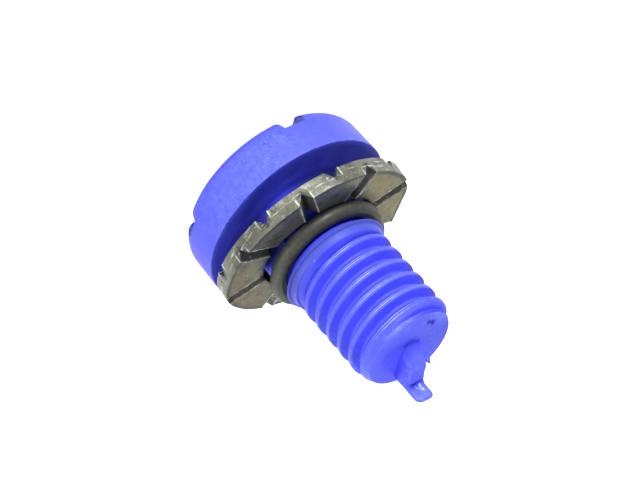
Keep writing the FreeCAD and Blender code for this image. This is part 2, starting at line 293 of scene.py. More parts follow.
def makePlastic(finish):
    material, tree, shader, grain, specks = startFinish("mouldedPlastic", finish)
    mark = readMark(tree)
    place = objectPlace(tree)

    # Pale wear, painted sheen and painted highlights where the mark is above zero, broken up by
    # the grain, and flecks in them.
    wornAndLit = calculate(tree, "MAXIMUM", mark, 0.0)
    wornAndLit = multiply(tree, wornAndLit, spread(tree, grain["Height"], *finish["wearAndLight"]))
    flecks = noise(tree, place, finish["fleckNoise"])
    flecked = spread(tree, flecks, *finish["flecks"])
    flecked = multiply(tree, flecked, spread(tree, mark, *finish["fleckedMarks"]))
    wornAndLit = calculate(tree, "ADD", wornAndLit, multiply(tree, flecked, grain["Patches"]))

    # Dull azure flecks between two heights: on the collar and on the land before the thread.
    height = addNode(tree, "ShaderNodeSeparateXYZ", {"Vector": place}).outputs["Z"]
    azureShare = spread(tree, height, *finish["azureStart"])
    azureShare = multiply(tree, azureShare, spread(tree, height, *finish["azureEnd"]))
    azureShare = multiply(tree, azureShare, spread(tree, flecks, *finish["azureFlecks"]))

    # A ragged whitened spot in the corner between the tongue's web and its tab.
    offset = vectorMath(tree, "SUBTRACT", place, finish["tearPlace"])["Vector"]
    shaped = vectorMath(tree, "MULTIPLY", offset, finish["tearShape"])["Vector"]
    away = vectorMath(tree, "LENGTH", shaped)["Value"]
    torn = calculate(tree, "SUBTRACT", noise(tree, place, finish["tearNoise"]), finish["tearMiddle"])
    ragged = calculate(tree, "ADD", away, multiply(tree, torn, finish["tearRaggedness"]))
    layers = [
        (grain["Patches"], "deepBlue"),
        (multiply(tree, wornAndLit, finish["wearAndLightStrength"]), "paleBlue"),
        (azureShare, "azure"),
        # Painted shade where the mark is below zero.
        (spread(tree, multiply(tree, mark, -1.0), 0.0, 1.0), "paintedShade"),
        (specks, "whiteAndHighlight"),
        # Painted highlight where the mark is far above zero.
        (spread(tree, mark, *finish["highlightMarks"]), "whiteAndHighlight"),
        (spread(tree, ragged, *finish["tear"]), "whiteAndHighlight"),
    ]
    paint(tree, shader, finish["blue"], finish, layers)
    tree.links.new(spread(tree, mark, *finish["specular"]), shader.inputs["Specular IOR Level"])
    return material


steelFinish = {
    "grey": (0.138, 0.147, 0.102, 1),
    "dark": (0.052, 0.056, 0.036, 1),
    # Tan and brown are painted light and painted shade over the metal's tan tone.
    "tanLit": (0.208, 0.174, 0.052, 1),
    "brownShaded": (0.094, 0.077, 0.026, 1),
    "bright": (0.90, 0.90, 0.84, 1),
    # Dark of dirt, stains and grit, also used for the painted shade in the notches and the darkening by
    # the rim.
    "dirtAndShade": (0.018, 0.018, 0.016, 1),
    "fixed": {"Metallic": 0.12, "Specular IOR Level": 0.36},
    "grain": {"Scale": 700.0, "Pitting": 0.6},
    "specks": {"Scale": 1900.0, "Size": 0.13, "Share": 0.10},
    "speckStrength": 0.16,
    "roughness": (0.4, 1.0, 0.30, 0.50),
    "bump": {"Strength": 0.8, "Distance": 0.00003},
    # Where the painted light lies: both ends of the upper face, lit at one end and shaded at the other.
    "litEnds": (0.0060, 0.0085, 0.0, 0.95),
    "litFacing": (0.85, 0.97),
    "litToShaded": (-0.004, 0.006),
    "greyPatches": 0.4,
    "darkMarks": (0.05, 0.7, 0.0, 0.95),
    "stainNoise": {"Scale": 520.0, "Detail": 6.0, "Roughness": 0.65},
    "stains": (0.52, 0.66, 0.0, 0.72),
    "wearAndLight": (0.66, 0.94, 0.0, 0.9),
    "streakStretch": (1.0, 1.0, 9.0),
    "streakNoise": {"Scale": 420.0, "Detail": 4.0},
    "streaks": (0.60, 0.70, 0.0, 0.40),
    "streakFacing": (0.6, 0.3),
    "gritNoise": {"Scale": 3600.0, "Detail": 3.0},
    "brightGrit": (0.58, 0.74, 0.0, 0.16),
    "darkGrit": (0.44, 0.30, 0.0, 0.40),
}


def makeSteel(finish):
    material, tree, shader, grain, specks = startFinish("washerSteel", finish)
    mark = readMark(tree)
    coordinates = addNode(tree, "ShaderNodeTexCoord").outputs
    place = coordinates["Object"]
    facing = addNode(tree, "ShaderNodeSeparateXYZ", {"Vector": coordinates["Normal"]}).outputs["Z"]
    colour = mixColour(tree, grain["Patches"], finish["grey"], finish["dark"])

    # Painted light and reflection on the upper face at both ends, over the metal's tan tone:
    # lit tan at one end and shaded brown at the other, with grey patches.
    side = leftward(tree, place)
    litShare = spread(tree, calculate(tree, "ABSOLUTE", side), *finish["litEnds"])
    litShare = multiply(tree, litShare, spread(tree, facing, *finish["litFacing"]))
    litTone = mixColour(tree, spread(tree, side, *finish["litToShaded"]), finish["tanLit"], finish["brownShaded"])
    litTone = mixColour(tree, multiply(tree, grain["Patches"], finish["greyPatches"]), litTone, finish["grey"])
    colour = mixColour(tree, litShare, colour, litTone)

    # Bare bright metal on worn edges, with painted highlights on them and on the rim, and in
    # scratches along the side walls.
    wornAndLit = calculate(tree, "MAXIMUM", mark, 0.0)
    wornAndLit = multiply(tree, wornAndLit, spread(tree, grain["Height"], *finish["wearAndLight"]))
    stretched = {"Vector": place, "Scale": finish["streakStretch"]}
    stretched = addNode(tree, "ShaderNodeMapping", stretched).outputs["Vector"]
    scratched = spread(tree, noise(tree, stretched, finish["streakNoise"]), *finish["streaks"])
    onWall = spread(tree, calculate(tree, "ABSOLUTE", facing), *finish["streakFacing"])
    bare = calculate(tree, "MAXIMUM", wornAndLit, multiply(tree, scratched, onWall))

    # Painted shade in the notches and darkening by the rim where the mark is below zero, broad
    # stains, bare metal, specks and grit of both kinds.
    grit = noise(tree, place, finish["gritNoise"])
    layers = [
        (spread(tree, multiply(tree, mark, -1.0), *finish["darkMarks"]), "dirtAndShade"),
        (spread(tree, noise(tree, place, finish["stainNoise"]), *finish["stains"]), "dirtAndShade"),
        (bare, "bright"),
        (specks, "bright"),
        (spread(tree, grit, *finish["brightGrit"]), "bright"),
        (spread(tree, grit, *finish["darkGrit"]), "dirtAndShade"),
    ]
    paint(tree, shader, colour, finish, layers)
    return material


rubberFinish = {
    "dark": (0.026, 0.027, 0.021, 1),
    "dusty": (0.064, 0.066, 0.048, 1),
    "speck": (0.3, 0.3, 0.28, 1),
    "fixed": {"Specular IOR Level": 0.35},
    "grain": {"Scale": 1200.0, "Pitting": 0.4},
    "specks": {"Scale": 1600.0, "Size": 0.10, "Share": 0.08},
    "speckStrength": 0.3,
    "roughness": (0.4, 0.9, 0.42, 0.62),
    "bump": {"Strength": 0.6, "Distance": 0.000012},
    # Lighter towards one side.
    "lighterLeftward": (-0.006, 0.006, 0.12, 0.40),
    "dustPatches": (0.0, 1.0, -0.15, 0.25),
    "fineNoise": {"Scale": 2200.0, "Detail": 4.0},
    "dustFine": (0.35, 0.65, -0.22, 0.22),
}


def makeRubber(finish):
    # Dark rubber, lighter from one side to the other, with dust in patches and fine grains.
    material, tree, shader, grain, specks = startFinish("sealRubber", finish)
    place = objectPlace(tree)
    dust = spread(tree, leftward(tree, place), *finish["lighterLeftward"])
    dust = calculate(tree, "ADD", dust, spread(tree, grain["Patches"], *finish["dustPatches"]))
    fine = spread(tree, noise(tree, place, finish["fineNoise"]), *finish["dustFine"])
    dust = calculate(tree, "ADD", dust, fine)
    layers = [(spread(tree, dust, 0.0, 1.0), "dusty"), (specks, "speck")]
    paint(tree, shader, finish["dark"], finish, layers)
    return material


mouldedPlastic = makePlastic(plasticFinish)
washerSteel = makeSteel(steelFinish)
sealRubber = makeRubber(rubberFinish)
print("materials made")

# Among the marks, three numbers in brackets are the place, width and strength of a bell.
head = {
    "topRadius": 11.38,
    "radius": 11.52,
    "height": 6.0,
    "rounding": 2.2,
    "rimRounding": 0.14,
    "slotHalf": 1.50,
    "slotDepth": 2.0,
    "slotLean": 0.035,
    "slotEdge": 0.16,
    "slotCorner": 0.28,
    "slotWallAngle": 4,
    "landColumns": 32,
    # Wear and painted highlight along the slot lips and the rim.
    "lipLine": (0.1, 0.12, 0.5),
    "lipDepth": 0.4,
    "rimLine": (-0.05, 0.10, 0.7),
    "wallFrom": 11.2,
    # Painted sheen on the outer wall, thinner in two directions and over the top rounding.
    "wallSheen": 0.44,
    "wallSheenDips": [(250, 0.55, -0.30), (30, 0.7, -0.40)],
    "sheenDepth": 1.5,
    "sheenLeast": 0.8,
    # Painted light on the slot walls.
    "slotWallLight": 3.2,
    "slotWallReach": 0.25,
}
neck = {
    "radius": 6.3,
    "fillet": 0.8,
    "grooveLow": 10.5,
    "grooveHigh": 13.05,
    "grooveRadius": 5.5,
    "edge": 0.10,
    "corner": 0.20,
    "collarRadius": 6.48,
    "collarEdge": 0.12,
    # Painted shade under the head towards the neck, and painted light laid over it near and far.
    "paintedShade": (7.9, 1.5, 0.9),
    "paintedShadeEnd": 0.3,
    "nearRadius": 8.8,
    "nearLight": (306, 0.40, 0.55),
    "farReach": 0.65,
    "farLight": (23.0, 0.20, 2.6),
}
thread = {
    "levelEnd": 14.0,
    "end": 26.5,
    "firstCrest": 13.88,
    "pitch": 2.0,
    "crest": 6.0,
    "ridgeHalf": [0.0, 0.21, 0.26, 0.30, 0.34, 0.72, 0.80],
    "ridgeDepth": [0.0, 0.0, 0.012, 0.05, 0.12, 0.88, 0.95],
    "moreRows": [0.05, 0.09, 0.14, 0.18, 0.42, 0.50, 0.58, 0.65, 0.90],
    "landRows": (13.22, 14.0, 0.06),
    "shallowHeights": [14.15, 14.5, 15.1, 16.2],
    "shallowRadii": [5.86, 5.68, 5.45, 5.05],
    "shallowTurn": 320.0,
    "shallowFade": (0.5, 0.30, 3.5, 1.5),
    "coreHeights": [13.05, 13.17, 13.45, 13.52, 13.60, 13.78, 13.86, 14.15, 14.25, 14.75, 14.85],
    "coreRadii": [6.48, 6.48, 6.12, 6.06, 6.045, 6.03, 6.01, 5.90, 5.84, 5.09, 5.05],
    "bevelStart": (25.13, 6.0),
    "faceHeight": 26.58,
    "faceRadius": 5.22,
    "lip": (26.12, 26.30),
    "lipReach": 0.15,
    "uneven": [(0.012, 3, 1.3), (0.008, 7, -2.1)],
    "unevenFade": (13.3, 0.5),
    # Painted highlight lines on the ridge, strongest where light strikes, and painted sheen on it.
    "ridgeLines": [(-0.26, 0.04, 1.0), (-0.02, 0.04, 1.0), (-0.14, 0.04, -0.25)],
    "ridgeLine": 0.4,
    "ridgeLight": (297.0, 0.45, 2.5),
    "ridgeSheen": (0.1, 0.75, 0.18),
    # Painted shade in the root, painted highlight lines and painted shade lines on the land.
    "rootLine": (-0.82, 0.09, 0.45),
    "rootFrom": 14.3,
    "landLines": [(13.8, 0.04, 0.5), (13.2, 0.05, 0.6), (13.48, 0.03, 0.5)],
    "landShadeLines": [(13.35, 0.035, 0.35), (13.65, 0.03, 0.35), (13.9, 0.03, 0.25)],
    # Painted highlight at the tip, painted light on the far side and painted shade on the run-out.
    "tipLight": (299.0, 0.34, 1.0),
    "tipFade": (26.0, 0.3),
    "tipOnBevel": 1.1,
    "tipOnFace": 0.8,
    "markRange": (-0.3, 2.4),
    "farLight": (25.0, 0.50, 0.40),
    "farFrom": 16,
    "runOutShade": (15.1, 0.7, 0.75),
    "runOutTurn": (297.0, 0.6, 1.0),
}


def slotSection():
    # Across a slot arm: distance from its middle and depth below the top face.
    half, lean, depth = head["slotHalf"], head["slotLean"], head["slotDepth"]
    edge, corner, wallAngle = head["slotEdge"], head["slotCorner"], head["slotWallAngle"]
    footStart = half - lean - corner
    arcPoints = 6
    floor = np.array([[0.0, depth], [0.45, depth], [footStart, depth]])
    foot = arcRows((footStart, depth - corner), corner, 90, wallAngle, arcPoints)[1:]
    lip = arcRows((half + lean + edge, edge), -edge, wallAngle, 90, arcPoints)
    wall = straightRows(foot[-1], lip[0], 2)
    return np.concatenate([floor, foot, wall, lip])


def columnAngles(radius, section):
    # Angles of all columns at one radius: a column in a slot keeps its distance from the slot's
    # middle, so its angle is the arc sine of distance over radius, and the columns between two
    # slots are spread evenly over what is left.
    offset = np.concatenate([-section[::-1, 0], section[1:, 0]])
    widest = sin(pi / 4)
    ratio = np.clip(offset[None, :] / np.maximum(radius[:, None], tiny), -widest, widest)
    arm = np.arcsin(ratio)
    share = np.linspace(0, 1, head["landColumns"] + 2)[1:-1]
    land = arm[:, -1:] + share[None, :] * (pi / 2 - 2 * arm[:, -1:])
    quarter = np.concatenate([arm, land], axis=1)
    turns = [quarter + step * pi / 2 for step in range(4)]
    return np.concatenate(turns + [arm[:, :1] + 2 * pi], axis=1)


def headProfile():
    # Radius and height along the outside, from the middle of the top face to the shoulder.
    # The top's rows lie closest where the corners between two slot arms are.
    wall, bottom, neckWall = head["radius"], head["height"], neck["radius"]
    lean = degrees(atan2(wall - head["topRadius"], bottom))
    slope = radians(lean)
    arcMiddle = head["topRadius"] - head["rounding"] * (1 - sin(slope)) / cos(slope)
    middle, corners = np.linspace(0, 1.4, 5), np.linspace(1.5, 2.4, 13)
    top = np.concatenate([middle, corners, np.linspace(2.7, arcMiddle, 16)[:-1]])
    rim = head["rimRounding"]
    rimMiddle = (wall - rim, bottom - rim)
    fillet, edge, corner = neck["fillet"], neck["edge"], neck["corner"]
    low, high, floor = neck["grooveLow"], neck["grooveHigh"], neck["grooveRadius"]
    collar, broken = neck["collarRadius"], neck["collarEdge"]
    neckTop = (neckWall + fillet, bottom + fillet)
    rounding = arcRows((arcMiddle, head["rounding"]), head["rounding"], -90, -lean, 26)
    parts = [
        np.stack([top, np.zeros_like(top)], axis=-1),
        rounding,
        straightRows(rounding[-1], (wall, bottom - rim), 8),
        arcRows(rimMiddle, rim, 0, 90, 5),
        straightRows((wall - rim, bottom), (neckTop[0], bottom), 6),
        arcRows(neckTop, fillet, -90, -180, 9),
        straightRows((neckWall, neckTop[1]), (neckWall, low - edge), 4),
        arcRows((neckWall - edge, low - edge), edge, 0, 90, 4),
        arcRows((floor + corner, low + corner), corner, -90, -180, 5),
        arcRows((floor + corner, high - corner), corner, 180, 90, 5),
        arcRows((collar - broken, high + broken), broken, -90, 0, 5),
    ]
    return np.concatenate(parts)


def ridgeRadius(fromCrest):
    # Radius of the thread's ridge by distance along the axis from the middle of its crest:
    # flat crest, rounded corner, flank, root.
    return thread["crest"] - np.interp(np.abs(fromCrest), thread["ridgeHalf"], thread["ridgeDepth"])


def threadHeights(turn):
    # Level rows over the shoulder and its land, then rows that climb with the helix, one set of
    # the ridge's section for each pitch, held between the last level row and the tip.
    level = np.unique(np.concatenate([thread["coreHeights"][1:], np.arange(*thread["landRows"])]))
    level = level[level <= thread["levelEnd"]]
    half = np.array(thread["ridgeHalf"][1:])
    side = np.sort(np.concatenate([half, thread["moreRows"]]))
    section = np.concatenate([-side[::-1], [0], side, [thread["pitch"] / 2]])
    climb = (section[None, :] + thread["pitch"] * np.arange(-1, 8)[:, None]).reshape(-1, 1)
    climbing = thread["firstCrest"] + thread["pitch"] * turn / (2 * pi) + climb
    climbing = np.clip(climbing, thread["levelEnd"], thread["end"])
    used = (climbing.max(axis=1) > thread["levelEnd"]) & (climbing.min(axis=1) < thread["end"])
    edge = np.full_like(turn, thread["end"])
    level = np.broadcast_to(level[:, None], (len(level), turn.shape[1]))
    return np.concatenate([level, climbing[used], edge])


def headMarks(profile, angles, fromArm, height, onTop):
    # Wear and painted highlight on the slots' edges and the rim, painted sheen on the outer wall,
    # thinner in two directions, and painted light on the slot walls. Painted shade grows under the
    # head towards the neck, with painted light laid over it on the near side and on the neck.
    radius, along = profile[:, :1], profile[:, 1:]
    slack = 0.01
    fromWall = fromArm - head["slotHalf"]
    lip = bells(fromWall, [head["lipLine"]]) * (height < head["lipDepth"]) * onTop[:, None]
    onWall = radius > head["wallFrom"]
    rim = bells(along - head["height"], [head["rimLine"]]) * onWall
    # Painted sheen on the outer wall.
    paintedSheen = head["wallSheen"] + turnBells(angles, head["wallSheenDips"])
    paintedSheen = paintedSheen * np.clip(along / head["sheenDepth"], head["sheenLeast"], 1)
    paintedSheen = paintedSheen * onWall * (along < head["height"] - 5 * slack)
    # Where the slot walls get painted light.
    slotWall = (np.abs(fromWall) < head["slotWallReach"]) * (height > along + 10 * slack)

    under = along > head["height"] - slack
    # Painted shade under the head, less painted light laid over it on the near side and the neck.
    shadeRadius, shadeOver, most = neck["paintedShade"]
    paintedShade = np.clip((shadeRadius - radius) / shadeOver, 0, most)
    paintedShade = paintedShade * under * (along < neck["grooveHigh"] - neck["paintedShadeEnd"])
    nearSide = (radius < neck["nearRadius"]) * under * (along < neck["grooveLow"])
    onNeck = (radius < neck["radius"] + neck["farReach"]) * (along > head["height"] + 2 * slack)
    paintedShade = paintedShade - nearSide * turnBells(angles, [neck["nearLight"]])
    paintedShade = paintedShade - onNeck * turnBells(angles, [neck["farLight"]])
    wearAndLight = np.maximum(np.maximum(lip, np.maximum(rim, paintedSheen)), head["slotWallLight"] * slotWall)
    return wearAndLight - paintedShade


def buildHead(angles, profile, section, onTop):
    # Head, neck and groove: the profile turned about Z, with the top face sunk to the depth of
    # the slot section wherever the lesser of |x| and |y| lies inside an arm.
    x, y = profile[:, :1] * np.cos(angles), profile[:, :1] * np.sin(angles)
    fromArm = np.minimum(np.abs(x), np.abs(y))
    depth = np.interp(fromArm, section[:, 0], section[:, 1])
    height = np.where(onTop[:, None], np.maximum(profile[:, 1:], depth), profile[:, 1:])
    return np.stack([x, y, height], axis=-1), headMarks(profile, angles, fromArm, height, onTop)


def tipHighlight(turn, height):
    # Painted highlight, one where the rim of the tip shows pale, falling off round the axis
    # and down the bevel.
    start, over = thread["tipFade"]
    return turnBells(turn, [thread["tipLight"]]) * np.clip((height - start) / over, 0, 1)


def windingMarks(turn, height, fromCrest, raised, shallowShare):
    # Painted highlight lines and painted sheen on the ridge, strongest where light strikes it,
    # painted highlight lines on the land and at the tip, and painted light on the far side.
    # Painted shade in dark lines in the root and on the land, and on the shallow run-out.
    lines = bells(fromCrest, thread["ridgeLines"])
    ridge = lines * (thread["ridgeLine"] + turnBells(turn, [thread["ridgeLight"]])) * raised
    sheenPlace, sheenWidth, sheenStrength = thread["ridgeSheen"]
    ridge = ridge + sheenStrength * np.clip(1 - np.abs(fromCrest - sheenPlace) / sheenWidth, 0, 1)
    pale = np.maximum(ridge, bells(height, thread["landLines"]))
    mark = np.clip(pale + thread["tipOnBevel"] * tipHighlight(turn, height), *thread["markRange"])
    mark = mark - bells(fromCrest, [thread["rootLine"]]) * (height > thread["rootFrom"])
    mark = mark - bells(height, thread["landShadeLines"])
    mark = mark + turnBells(turn, [thread["farLight"]]) * (height > thread["farFrom"])
    runOut = bells(height, [thread["runOutShade"]]) * turnBells(turn, [thread["runOutTurn"]])
    return mark - shallowShare * runOut


def buildWinding(turn):
    # Shoulder and thread: the greater of the core's and the ridge's radius, cut by the tip
    # bevel. Over part of a turn the first root rises gently from the land instead of steeply.
    height = threadHeights(turn)
    pitch = thread["pitch"]
    crestHeight = thread["firstCrest"] + pitch * turn / (2 * pi)
    fromCrest = (height - crestHeight + pitch / 2) % pitch - pitch / 2
    core = np.interp(height, thread["coreHeights"], thread["coreRadii"])
    replaced = len(thread["shallowHeights"])
    shallow = np.interp(height, thread["coreHeights"][:-replaced] + thread["shallowHeights"],
                        thread["coreRadii"][:-replaced] + thread["shallowRadii"])
    fromShallow = turnFrom(turn, thread["shallowTurn"])
    risen, riseOver, fallen, fallSlope = thread["shallowFade"]
    shallowShare = np.clip(risen + fromShallow / riseOver, 0, 1)
    shallowShare = shallowShare * np.clip(fallen - fromShallow * fallSlope, 0, 1)
    core = core + (shallow - core) * shallowShare
    lipStart, lipEnd = thread["lip"]
    lipShare = np.clip((height - lipStart) / (lipEnd - lipStart), 0, 1)
    core = core + (thread["faceRadius"] + thread["lipReach"] - core) * lipShare
    radius = np.maximum(core, ridgeRadius(fromCrest))
    bevelLow, bevelWide = thread["bevelStart"]
    bevelSlope = (bevelWide - thread["faceRadius"]) / (thread["faceHeight"] - bevelLow)
    radius = np.minimum(radius, thread["faceRadius"] + (thread["faceHeight"] - height) * bevelSlope)
    start, over = thread["unevenFade"]
    uneven = waves(thread["uneven"], turn, height) * np.clip((height - start) / over, 0, 1)
    radius = radius + uneven * np.clip((thread["end"] - height) / over, 0, 1)
    points = np.stack([radius * np.cos(turn), radius * np.sin(turn), height], axis=-1)
    return points, windingMarks(turn, height, fromCrest, radius > core + 0.02, shallowShare)


# Each dent is given by x, y, depth, width and darkness. The first is a broad hollow.
endFace = {
    "rings": 60,
    "edge": 0.08,
    "nibTurn": 133.0,
    "nibRadius": 4.9,
    "nibHeight": 0.72,
    "nibWidth": 0.27,
    # Painted sheen, with painted shade near the tongue, a painted highlight on the edge and painted
    # light at the far rim.
    "paintedSheen": 0.42,
    "shadePlace": (1.3, 0.5),
    "shadeLine": (0, 2.7, 0.76),
    "edgeLine": (1, 0.02, 0.6),
    "farLight": (230.0, 0.28, 0.9),
    "dents": [
        (0.34, -0.58, 0.10, 1.30, 0.0),
        (-2.39, -3.10, 0.26, 0.30, 3.6),
        (-1.80, -3.38, 0.20, 0.26, 4.0),
        (-2.59, -2.70, 0.17, 0.20, 4.0),
        (-1.00, -0.68, 0.10, 0.36, 3.6),
        (0.12, -0.90, 0.07, 0.62, 3.2),
        (0.77, -0.70, 0.05, 0.45, 3.2),
        (-0.38, -1.00, 0.05, 0.40, 3.2),
    ],
    "dentReach": 1.1,
}


def buildEndFace(turn, lastRow):
    # Rings that shrink from the thread's last row to the axis, with a broken edge, the small
    # flash nib on the rim and dark dents. Painted sheen lies over it, with painted shade near the
    # tongue, a painted highlight on the edge and painted light round the rim.
    share = np.linspace(1, 0, endFace["rings"])[:, None]
    ringRadius = (np.hypot(lastRow[:, :, 0], lastRow[:, :, 1]) - endFace["edge"]) * share
    x, y = ringRadius * np.cos(turn), ringRadius * np.sin(turn)
    nibTurn, nibRadius = radians(endFace["nibTurn"]), endFace["nibRadius"]
    nibAway = np.hypot(x - nibRadius * cos(nibTurn), y - nibRadius * sin(nibTurn))
    height = thread["faceHeight"] + endFace["nibHeight"] * hump(nibAway, endFace["nibWidth"])
    # Painted shade near the tongue taken off the painted sheen, and a painted highlight on the edge.
    shadeX, shadeY = endFace["shadePlace"]
    paintedSheen = endFace["paintedSheen"] - bells(np.hypot(x - shadeX, y - shadeY), [endFace["shadeLine"]])
    mark = np.maximum(paintedSheen, bells(share, [endFace["edgeLine"]]))
    for dentX, dentY, depth, width, darkness in endFace["dents"]:
        away = np.hypot(x - dentX, y - dentY)
        height = height - depth * hump(away, width)
        mark = mark - darkness * depth * hump(away, endFace["dentReach"] * width)
    # Painted highlight at the tip's rim and painted light at the far rim.
    glow = thread["tipOnFace"] * tipHighlight(turn, lastRow[:, :, 2]) + turnBells(turn, [endFace["farLight"]])
    mark = mark + glow * np.clip(share * 4 - 3, 0, 1)
    return np.stack([x, y, height], axis=-1), mark


def buildPlugBody():
    # One surface from the middle of the head's top face to the middle of the end face.
    section = slotSection()
    profile = headProfile()
    onTop = np.arange(len(profile)) < np.argmax(profile[:, 1] >= head["height"])
    radius = np.where(onTop, profile[:, 0], head["radius"])
    angles = columnAngles(radius, section)
    turned, turnedMark = buildHead(angles, profile, section, onTop)
    winding, windingMark = buildWinding(angles[-1:])
    face, faceMark = buildEndFace(angles[-1:], winding[-1:])
    points = np.concatenate([turned, winding, face])
    marks = np.concatenate([turnedMark, windingMark, faceMark])
    return gridMesh("plugBody", points, mouldedPlastic, sharpAngle=50, marks=marks)


plugBody = buildPlugBody()
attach(plugBody, "root")
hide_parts("drain_plug")
print("plug body made")

tongue = {
    "angle": 4.2,
    "offset": -0.15,
    "half": 1.05,
    "reach": 4.9,
    "foot": -0.28,
    "face": 26.58,
    "web": 2.0,
    "rampStart": -0.8,
    "rampEnd": 1.45,
    "rampLift": 0.05,
    "tab": 4.0,
    "tabDepth": 0.65,
    "tabRounds": (0.2, 0.25),
    "hollow": 0.45,
    "webEdge": 0.75,
    "tabEdge": 0.17,
    "flare": (0.75, 0.35),
    "flareHeight": 1.1,
    "farEdge": 0.4,
    "taper": (0.50, 0.78),
    "taperLength": 2.4,
    "topCorners": (0.30, 0.85),
    "outWaves": [(0.02, 4, 3)],
    "upWaves": [(0.012, 9, -5)],
    # Painted sheen rising with the height, painted shade at the foot, a painted highlight on the tab and
    # painted shade in the nook.
    "paintedSheen": 0.45,
    "sheenHeight": 1.2,
    "footShade": 0.15,
    "tabHighlight": 0.40,
    "tabFrom": 2.3,
    "nookPlace": (0.25, 0.1),
    "nookLine": (0, 0.38, 0.75),
    "nookSide": (0.35, 0.55, 1.0),
}


def tongueOutline():
    # Side view of the tongue: distance from the axis and height above the end face. The web's
    # top climbs out of the face by the smooth step 3t^2 - 2t^3. Each point comes with the
    # rounding of the tongue's long edges there, which is smoothed along the outline.
    low, reach = tongue["foot"], tongue["reach"]
    inner = reach - tongue["tabDepth"]
    web, tab, hollow = tongue["web"], tongue["tab"], tongue["hollow"]
    start, end = tongue["rampStart"], tongue["rampEnd"]
    front, back = tongue["tabRounds"]
    share = np.linspace(0, 1, 22)[:, None]
    step = share ** 2 * (3 - 2 * share)
    lift = tongue["rampLift"]
    climb = low + lift + (web - low - lift) * step
    ramp = np.concatenate([start + (end - start) * share, climb], axis=1)
    tabPart = np.concatenate([
        straightRows((start + lift, low), (reach, low), 12),
        [[reach, low]],
        straightRows((reach, low), (reach, tab - front), 18),
        arcRows((reach - front, tab - front), front, 0, 90, 5),
        arcRows((inner + back, tab - back), back, 90, 180, 5),
        straightRows((inner, tab - back), (inner, web + hollow), 7),
        arcRows((inner - hollow, web + hollow), hollow, 0, -90, 7),
    ])
    webPart = np.concatenate([straightRows((inner - hollow, web), ramp[-1], 7), ramp[::-1]])
    outline = np.concatenate([tabPart, webPart])
    rounding = np.repeat([tongue["tabEdge"], tongue["webEdge"]], [len(tabPart), len(webPart)])
    near = 3
    window = np.ones(2 * near + 1) / (2 * near + 1)
    smooth = np.convolve(np.pad(rounding, near, mode="edge"), window, mode="valid")
    fading = np.clip((outline[:, 1] - low) / 0.9, 0.3, 1)
    return outline, smooth * fading


def buildTongue():
    outline, rounding = tongueOutline()
    ahead, behind = np.roll(outline, -1, axis=0), np.roll(outline, 1, axis=0)
    along = ahead - behind
    along /= np.maximum(np.linalg.norm(along, axis=1, keepdims=True), tiny)
    inward = np.stack([-along[:, 1], along[:, 0]], axis=-1)

    # Strips across: flat ones, and quarter circles at the rounded edges.
    turn = np.radians(np.linspace(0, 90, 7))
    bend = np.concatenate([-turn[::-1], np.zeros(11), turn])[:, None]
    flat = np.concatenate([np.full(7, -1), np.linspace(-1, 1, 13)[1:-1], np.full(7, 1)])[:, None]
    edge = rounding * np.where(flat < 0, tongue["farEdge"], 1)
    side = flat * (tongue["half"] - edge) + edge * np.sin(bend)
    inset = outline[None] + inward[None] * (edge * (1 - np.cos(bend)))[:, :, None]

    # The tab's top corners: its height falls off towards each side along a quarter circle.
    reach, rise = inset[:, :, 0], inset[:, :, 1]
    left, right = tongue["topCorners"]
    cornerSize = np.where(side < 0, left, right)
    past = np.clip(np.abs(side) - (tongue["half"] - cornerSize), 0, cornerSize)
    drop = cornerSize - np.sqrt(cornerSize ** 2 - past ** 2)
    upTab = np.clip((rise - tongue["web"]) / (tongue["tab"] - tongue["web"]), 0, 1)
    rise = rise - drop * upTab

    # The foot widens into the end face by the flare times the square of the height left to it,
    # and the web narrows to its start by the taper times the square of the length left.
    rest = np.clip(1 - rise / tongue["flareHeight"], 0, 1)
    inside = np.clip((tongue["reach"] + 0.1 - reach) / 1.5, 0, 1)
    grown = np.clip((reach - tongue["rampStart"]) / tongue["taperLength"], 0, 1)
    width = 1 - np.where(side > 0, tongue["taper"][1], tongue["taper"][0]) * (1 - grown) ** 2
    flare = np.where(side > 0, tongue["flare"][1], tongue["flare"][0])
    across = side * width * (1 + flare * rest ** 2 * inside) + tongue["offset"]
    uneven = waves(tongue["outWaves"], reach, side) + waves(tongue["upWaves"], rise, side)
    across = across + uneven * np.clip(rise, 0, 1)
    angle = radians(tongue["angle"])
    x = across * cos(angle) - reach * sin(angle)
    y = across * sin(angle) + reach * cos(angle)
    points = np.stack([x, y, tongue["face"] + rise], axis=-1)

    # Painted sheen that grows with the height, a painted highlight on the tab, and painted shade
    # at the foot and in the nook between the two.
    mark = tongue["paintedSheen"] * np.clip(rise / tongue["sheenHeight"], 0, 1) - tongue["footShade"]
    mark = mark + tongue["tabHighlight"] * np.clip(rise - tongue["tabFrom"], 0, 1)
    before, above = tongue["nookPlace"]
    fromTab = reach - tongue["reach"] + tongue["tabDepth"] + before
    nookAway = np.hypot(fromTab, rise - tongue["web"] - above)
    mark = mark - bells(nookAway, [tongue["nookLine"]]) * bells(side, [tongue["nookSide"]])
    piece = gridMesh("plugTongue", closed(points), mouldedPlastic, sharpAngle=50, marks=closed(mark))
    work = bmesh.new()
    work.from_mesh(piece.data)
    bmesh.ops.holes_fill(work, edges=[edge for edge in work.edges if edge.is_boundary])
    bmesh.ops.triangulate(work, faces=[face for face in work.faces if len(face.verts) > 4])
    bmesh.ops.recalc_face_normals(work, faces=work.faces)
    for face in work.faces:
        face.smooth = True
    work.to_mesh(piece.data)
    work.free()
    piece.data.set_sharp_from_angle(angle=radians(40))
    return piece


plugTongue = buildTongue()
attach(plugTongue, "root")
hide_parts("drain_plug")
print("tongue made")

